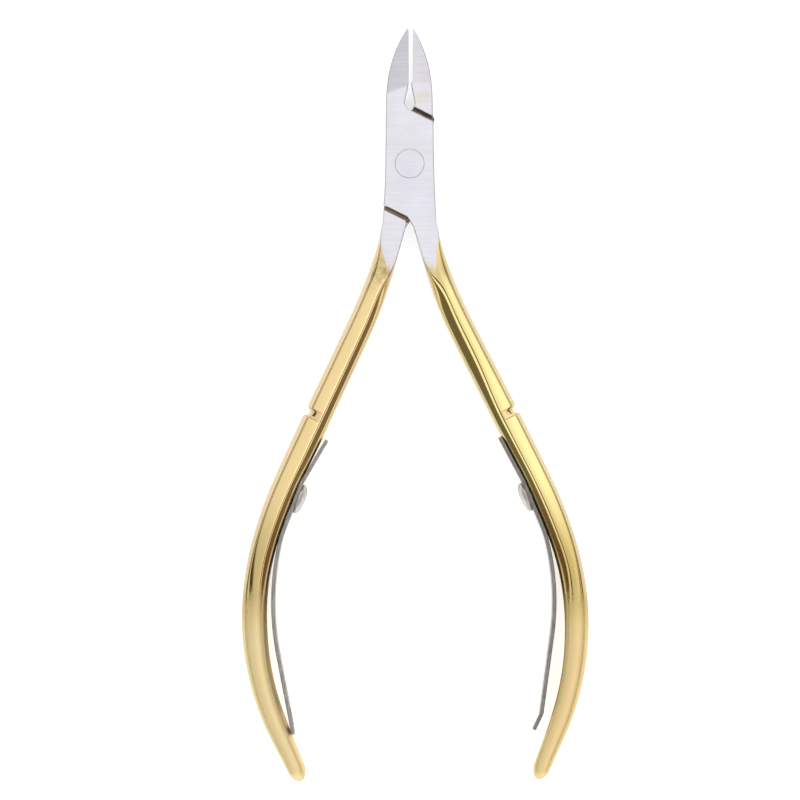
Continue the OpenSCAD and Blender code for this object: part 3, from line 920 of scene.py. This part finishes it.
def half_material(name, side):
    material, tree, shader, place = new_material(name)
    steel, lines, (x, y, z) = ground_steel(tree, place, side)
    steel = browned_slots(tree, place, steel, x, y, z)
    steel = mix(tree, rivet_seam(tree, place, 0.06 * MM), steel, SEAM_TONE)

    # The sides are duller than the ground faces
    normal = add_node(tree, "ShaderNodeTexCoord").outputs["Normal"]
    upward = calc(tree, "ABSOLUTE", add_node(tree, "ShaderNodeSeparateXYZ", {0: normal}).outputs[2])
    steel = mix(tree, fade(tree, upward, 0.97, 0.8), steel, STEEL_SIDE)
    if side == REAR:
        steel = heat_stain(tree, steel, x, y, z)

    plated = plating_mask(tree, place, x, y, side)
    bare = minus(tree, 1.0, plated)
    gold = groove_floor_and_shade(tree, plating_tone(tree, place, y, upward, side), x, y, side)
    specks = use_group(tree, TARNISH_SPECKS, Place=place, Size=300.0, Amount=0.035)["Mask"]
    speck_share = times(tree, fade(tree, y, -66 * MM, -72 * MM, 0.15, 1.0), 0.8)
    gold = mix(tree, times(tree, specks, speck_share), gold, RUST)
    colour = mix(tree, plated, steel, gold)

    # Polished above, satin towards the ends, and less polished down the sides
    worn = times(tree, noise(tree, place, (1600, 500, 1600), 4.0, 0.65), 6 * MM)
    satin = fade(tree, plus(tree, y, worn), -53.5 * MM, -60 * MM)
    gold_rough = fade(tree, satin, 0.0, 1.0, 0.07, 0.42)
    gold_rough = plus(tree, gold_rough, fade(tree, upward, 0.78, 0.5, 0.0, 0.26))
    steel_rough = fade(tree, lines, 0.2, 0.8, 0.30, 0.42)
    roughness = plus(tree, times(tree, gold_rough, plated), times(tree, steel_rough, bare))
    polish = times(tree, noise(tree, place, (2500, 220, 2500), 2.0), 0.06)
    height = plus(tree, times(tree, lines, bare), polish)
    connect(tree, shader, colour, roughness, height, 0.35, 0.006 * MM)
    return material


def rivet_material():
    material, tree, shader, place = new_material("ground_rivet")
    grinding = use_group(tree, CROSS_GRINDING, Place=place)
    colour = mix(tree, grinding["Tone"], STEEL_SHADE, STEEL_LIGHT)
    colour = mix(tree, rivet_seam(tree, place, 0.06 * MM), colour, SEAM_TONE)
    roughness = fade(tree, grinding["Lines"], 0.2, 0.8, 0.30, 0.42)
    connect(tree, shader, colour, roughness, grinding["Lines"], 0.35, 0.006 * MM)
    return material


def leaf_material(name, shade, light):
    material, tree, shader, place = new_material(name)
    grain = noise(tree, place, (5500, 600, 5500), 4.0, 0.65)
    colour = mix(tree, fade(tree, grain, 0.3, 0.7), shade, light)
    specks = use_group(tree, TARNISH_SPECKS, Place=place, Size=700.0, Amount=0.1)["Mask"]
    colour = mix(tree, times(tree, specks, 0.25), colour, LEAF_SPECK)
    roughness = fade(tree, grain, 0.3, 0.7, 0.46, 0.34)
    connect(tree, shader, colour, roughness, grain, 0.3, 0.01 * MM)
    return material


def screw_material():
    material, tree, shader, place = new_material("screw_steel")
    grain = noise(tree, place, (900, 900, 900), 3.0, 0.6)
    colour = mix(tree, fade(tree, grain, 0.3, 0.7), SCREW_SHADE, SCREW_LIGHT)
    roughness = fade(tree, grain, 0.3, 0.7, 0.44, 0.34)
    connect(tree, shader, colour, roughness, grain, 0.12, 0.005 * MM)
    return material


# The object

half_names = ["front_forging", "rear_forging"]
cad_halves = ["front_half", "rear_half"]
sides = ["right", "left"]  # the side that each half's spring is on
# Both leaves are one spring steel; the first, darker copy is painted shade
leaf_steel = [leaf_material("spring_steel_painted_shade", (0.22, 0.21, 0.20, 1), (0.34, 0.325, 0.31, 1)),
              leaf_material("spring_steel", (0.29, 0.28, 0.27, 1), (0.43, 0.415, 0.40, 1))]
screw_steel = screw_material()

for side in (FRONT, REAR):
    forging = half(side, half_names[side])
    forging.data.materials.append(half_material(half_names[side] + "_finish", side))
    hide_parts(cad_halves[side])
    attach(forging, BODY[side])

    strip, bend_start, bend_stop = leaf(side, sides[side] + "_leaf")
    strip.data.materials.append(leaf_steel[side])
    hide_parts(sides[side] + "_spring_root", sides[side] + "_spring_blade")
    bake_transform(strip)

    head = screw(side, sides[side] + "_screw")
    head.data.materials.append(screw_steel)
    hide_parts(sides[side] + "_spring_screw")
    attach(head, BODY[side])

rivet = turned("rivet", rivet_profile(0, 0.025))
finish_shading(rivet, 15)
rivet.data.materials.append(rivet_material())
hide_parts("joint_rivet")
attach(rivet, "rear")

# The table

TABLE_REACH = 3000
TABLE_Z = -0.02
table_corners = [(-TABLE_REACH, -TABLE_REACH, TABLE_Z), (TABLE_REACH, -TABLE_REACH, TABLE_Z),
                 (TABLE_REACH, TABLE_REACH, TABLE_Z), (-TABLE_REACH, TABLE_REACH, TABLE_Z)]
floor = mesh_object("table", table_corners, [(0, 1, 2, 3)])
table_white = bpy.data.materials.new("white_table")
table_white.use_nodes = True
table_shader = table_white.node_tree.nodes["Principled BSDF"]
table_shader.inputs["Base Color"].default_value = (0.9, 0.9, 0.9, 1)
table_shader.inputs["Roughness"].default_value = 0.8
table_shader.inputs["Emission Color"].default_value = (1, 1, 1, 1)
table_shader.inputs["Emission Strength"].default_value = 0.6
floor.data.materials.append(table_white)

# Long soft lights above and beside the tool, with dark gaps between them

SOFT = (0.92, 0.92, 0.92)
STRIP = (1.1, 1.08, 1.05)
GAP = (0.10, 0.085, 0.07)
LEFT_WALL = (0.155, 0.13, 0.105)
RIGHT_WALL = (0.20, 0.145, 0.115)
# (degrees from straight up towards +X, colour)
SKY = [(-90, SOFT), (-70, SOFT), (-65, LEFT_WALL), (-43, LEFT_WALL), (-39, STRIP),
       (-27, (1.15, 1.13, 1.1)), (-25.5, GAP), (-18.5, GAP), (-17, SOFT), (-8, (0.97, 0.97, 0.97)),
       (0, (1, 1, 1)), (3, (1.05, 1.05, 1.05)), (7, (1.3, 1.3, 1.3)), (11, (1.25, 1.25, 1.25)),
       (17, SOFT), (18.5, GAP), (25.5, GAP), (27, STRIP), (37, STRIP), (41, RIGHT_WALL),
       (65, RIGHT_WALL), (70, SOFT), (90, SOFT)]
world = bpy.data.worlds.new("studio")
bpy.context.scene.world = world
world.use_nodes = True
sky = world.node_tree
sky.nodes.clear()
direction = add_node(sky, "ShaderNodeTexCoord").outputs["Generated"]
across, lengthwise, up = add_node(sky, "ShaderNodeSeparateXYZ", {0: direction}).outputs
angle = calc(sky, "ARCTAN2", across, up)
turn_share = plus(sky, calc(sky, "DIVIDE", angle, math.pi), 0.5)
ramp = add_node(sky, "ShaderNodeValToRGB", {0: turn_share})
stops = ramp.color_ramp.elements
while len(stops) < len(SKY):
    stops.new(0.5)
for stop, (degrees, colour) in zip(stops, SKY):
    stop.position = degrees / 180 + 0.5
for stop, (degrees, colour) in zip(stops, SKY):
    stop.color = (*colour, 1)
lit = mix(sky, fade(sky, lengthwise, -0.7, -0.9), ramp.outputs[0], (0.95, 0.95, 0.95, 1))
lit = mix(sky, fade(sky, lengthwise, 0.7, 0.9), lit, (1.5, 1.38, 1.25, 1))
seen = add_node(sky, "ShaderNodeBackground", {0: (1, 1, 1, 1), 1: 1.0}).outputs[0]
light = add_node(sky, "ShaderNodeBackground", {0: lit, 1: 1.0}).outputs[0]
to_camera = add_node(sky, "ShaderNodeLightPath").outputs["Is Camera Ray"]
either = add_node(sky, "ShaderNodeMixShader", {0: to_camera, 1: light, 2: seen})
add_node(sky, "ShaderNodeOutputWorld", {0: either.outputs[0]})

# Camera straight above, with a long lens

SEEN_WIDTH = 111.95
CAMERA_HEIGHT = 400
SENSOR = 36
camera = bpy.data.objects.new("camera", bpy.data.cameras.new("camera"))
bpy.context.scene.collection.objects.link(camera)
camera.data.sensor_width = SENSOR
camera.data.lens = SENSOR * CAMERA_HEIGHT / SEEN_WIDTH
camera.location = Vector((-1.35, -32.88, MID_Z + CAMERA_HEIGHT)) * MM
camera.data.clip_start = 0.01
bpy.context.scene.camera = camera
bpy.context.scene.view_settings.view_transform = "Standard"
